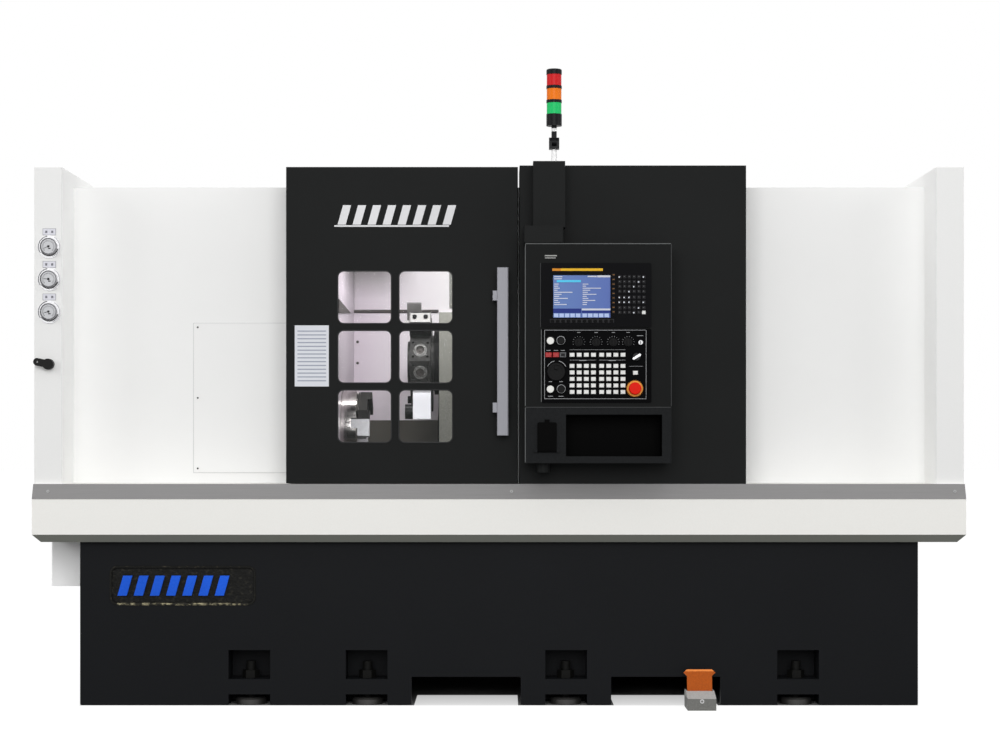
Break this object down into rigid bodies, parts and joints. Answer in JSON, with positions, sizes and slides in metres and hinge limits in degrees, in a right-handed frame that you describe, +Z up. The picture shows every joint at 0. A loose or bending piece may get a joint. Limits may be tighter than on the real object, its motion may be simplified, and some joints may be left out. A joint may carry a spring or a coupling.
{
  "type": "cnc turning lathe",
  "caption": "Enclosed slant-bed turning lathe with a sliding windowed door, swivelling control pendant, jaw chuck and indexing tool turret, on a cast base with levelling feet.",
  "frame": {"origin": "on the floor, under the middle of the machine", "axes": "+X along the spindle to the operator's right, +Y to the back, +Z up"},
  "size_m": [3.44, 2.0924, 2.37],
  "materials": {
    "base_black": "semi-gloss paint over rough casting",
    "cast_grey": "painted casting with machined ways",
    "dark_steel": "turned, oiled",
    "plain_steel": "ground",
    "white_paint": "fine texture paint",
    "black_paint": "fine texture paint",
    "light_grey_paint": "satin paint",
    "stainless": "brushed",
    "liner_steel": "satin sheet",
    "bright_metal": "polished",
    "handle_aluminium": "anodised",
    "pedal_grey": "cast, painted grey",
    "window_glass": "clear laminated",
    "slide_plastic": "moulded",
    "bezel_plastic": "moulded",
    "plate_plastic": "printed sheet",
    "screen_glass": "lit screen",
    "key_white": "moulded",
    "knob_black": "moulded",
    "stop_red": "moulded",
    "signal_lens": "moulded, one red, one amber, one green",
    "treadle_orange": "gloss paint"
  },
  "bodies": {
    "machine": {"bed_base": "base_black", "slant_bed": "cast_grey", "levelling_pads": "dark_steel", "levelling_screws": "plain_steel", "tray_skirt": "white_paint", "steel_strip": "stainless", "left_end_cover": "white_paint", "right_end_cover": "white_paint", "left_front_panel": "white_paint", "right_front_panel": "white_paint", "roof_panel": "white_paint", "rear_panel": "white_paint", "access_cover": "white_paint", "door_rail": "plain_steel", "control_cover": "black_paint", "pendant_arm": "black_paint", "headstock": "cast_grey", "inner_liner": "liner_steel", "chip_pan": "stainless", "electrical_cabinet": "white_paint", "service_box": "light_grey_paint", "pressure_gauges": "bright_metal", "stack_pole": "bright_metal", "pedal_housing": "pedal_grey"},
    "door": {"door_panel": "black_paint", "door_glass": "window_glass", "door_handle": "handle_aluminium", "door_carriages": "slide_plastic"},
    "pendant": {"pendant_case": "black_paint", "storage_box": "black_paint", "display_unit": "bezel_plastic", "display_screen": "screen_glass", "operator_plate": "plate_plastic", "panel_keys": "key_white"},
    "estop": {"estop_button": "stop_red"},
    "start": {"start_button": "key_white"},
    "hold": {"hold_button": "knob_black"},
    "power_on": {"power_on_button": "key_white"},
    "power_off": {"power_off_button": "knob_black"},
    "mode_selector": {"mode_knob": "knob_black"},
    "spindle_selector": {"spindle_knob": "knob_black"},
    "feed_selector": {"feed_knob": "knob_black"},
    "rapid_selector": {"rapid_knob": "knob_black"},
    "lever": {"lever_switch": "bright_metal"},
    "wheel": {"handwheel": "knob_black"},
    "flap": {"interface_cover": "bezel_plastic"},
    "latch": {"latch_lever": "knob_black"},
    "tower": {"stack_body": "bezel_plastic", "stack_lenses": "signal_lens"},
    "treadle": {"pedal_plate": "treadle_orange"},
    "spindle": {"spindle_shaft": "plain_steel", "chuck_body": "dark_steel"},
    "jaw_1": {"chuck_jaw_1": "plain_steel"},
    "jaw_2": {"chuck_jaw_2": "plain_steel"},
    "jaw_3": {"chuck_jaw_3": "plain_steel"},
    "saddle": {"saddle": "cast_grey"},
    "cross_slide": {"cross_slide": "cast_grey"},
    "turret": {"turret_disc": "plain_steel", "tool_holders": "dark_steel"},
    "cabinet_door": {"cabinet_door": "white_paint"}
  },
  "joints": [
    {"name": "door_slide", "type": "slide", "parent": "machine", "child": "door", "axis": [-1, 0, 0], "range_m": [0, 0.8]},
    {"name": "pendant_swivel", "type": "hinge", "parent": "machine", "child": "pendant", "pos_m": [0.162, -0.945, 1.7], "axis": [0, 0, -1], "range_deg": [0, 75]},
    {"name": "estop_push", "type": "slide", "parent": "pendant", "child": "estop", "axis": [0, 1, 0], "range_m": [0, 0.006]},
    {"name": "start_push", "type": "slide", "parent": "pendant", "child": "start", "axis": [0, 1, 0], "range_m": [0, 0.004], "stiffness_N_per_m": 400},
    {"name": "hold_push", "type": "slide", "parent": "pendant", "child": "hold", "axis": [0, 1, 0], "range_m": [0, 0.004], "stiffness_N_per_m": 400},
    {"name": "power_on_push", "type": "slide", "parent": "pendant", "child": "power_on", "axis": [0, 1, 0], "range_m": [0, 0.004], "stiffness_N_per_m": 400},
    {"name": "power_off_push", "type": "slide", "parent": "pendant", "child": "power_off", "axis": [0, 1, 0], "range_m": [0, 0.004], "stiffness_N_per_m": 400},
    {"name": "mode_select", "type": "hinge", "parent": "pendant", "child": "mode_selector", "pos_m": [0.289, -1.01, 1.338], "axis": [0, -1, 0], "range_deg": [-75, 75]},
    {"name": "spindle_select", "type": "hinge", "parent": "pendant", "child": "spindle_selector", "pos_m": [0.352, -1.01, 1.338], "axis": [0, -1, 0], "range_deg": [-75, 75]},
    {"name": "feed_select", "type": "hinge", "parent": "pendant", "child": "feed_selector", "pos_m": [0.414, -1.01, 1.338], "axis": [0, -1, 0], "range_deg": [-75, 75]},
    {"name": "rapid_select", "type": "hinge", "parent": "pendant", "child": "rapid_selector", "pos_m": [0.468, -1.01, 1.338], "axis": [0, -1, 0], "range_deg": [-75, 75]},
    {"name": "lever_turn", "type": "hinge", "parent": "pendant", "child": "lever", "pos_m": [0.498, -1.01, 1.285], "axis": [0, -1, 0], "range_deg": [0, 60]},
    {"name": "handwheel_turn", "type": "hinge", "parent": "pendant", "child": "wheel", "pos_m": [0.207, -1.01, 1.231], "axis": [0, -1, 0], "continuous": true},
    {"name": "flap_hinge", "type": "hinge", "parent": "pendant", "child": "flap", "pos_m": [0.174, -1.01, 0.944], "axis": [1, 0, 0], "range_deg": [0, 110]},
    {"name": "latch_turn", "type": "hinge", "parent": "machine", "child": "latch", "pos_m": [-1.664, -0.84, 1.264], "axis": [0, -1, 0], "range_deg": [0, 90]},
    {"name": "tower_fold", "type": "hinge", "parent": "machine", "child": "tower", "pos_m": [0.206, -0.75, 2.098], "axis": [-1, 0, 0], "range_deg": [0, 90]},
    {"name": "treadle_press", "type": "hinge", "parent": "machine", "child": "treadle", "pos_m": [0.738, -0.89, 0.036], "axis": [-1, 0, 0], "range_deg": [0, 12], "stiffness_Nm_per_rad": 3, "springref_deg": -17.19},
    {"name": "spindle_turn", "type": "hinge", "parent": "machine", "child": "spindle", "pos_m": [-0.6, -0.3, 1.03], "axis": [1, 0, 0], "continuous": true},
    {"name": "jaw_1_slide", "type": "slide", "parent": "spindle", "child": "jaw_1", "axis": [0, -0.9903, 0.1392], "range_m": [-0.006, 0.006]},
    {"name": "jaw_2_slide", "type": "slide", "parent": "spindle", "child": "jaw_2", "axis": [0, 0.3746, -0.9272], "range_m": [-0.006, 0.006]},
    {"name": "jaw_3_slide", "type": "slide", "parent": "spindle", "child": "jaw_3", "axis": [0, 0.6157, 0.788], "range_m": [-0.006, 0.006]},
    {"name": "saddle_slide", "type": "slide", "parent": "machine", "child": "saddle", "axis": [1, 0, 0], "range_m": [-0.02, 0.6]},
    {"name": "cross_feed", "type": "slide", "parent": "saddle", "child": "cross_slide", "axis": [0, 0.7071, 0.7071], "range_m": [-0.215, 0.023]},
    {"name": "turret_index", "type": "hinge", "parent": "cross_slide", "child": "turret", "pos_m": [-0.3144, -0.03151, 1.29849], "axis": [1, 0, 0], "continuous": true},
    {"name": "cabinet_hinge", "type": "hinge", "parent": "machine", "child": "cabinet_door", "pos_m": [1.188, 1.028, 0.975], "axis": [0, 0, -1], "range_deg": [0, 110]}
  ],
  "couplings": [
    {"joint": "jaw_2_slide", "follows": "jaw_1_slide", "ratio": 1},
    {"joint": "jaw_3_slide", "follows": "jaw_1_slide", "ratio": 1}
  ]
}
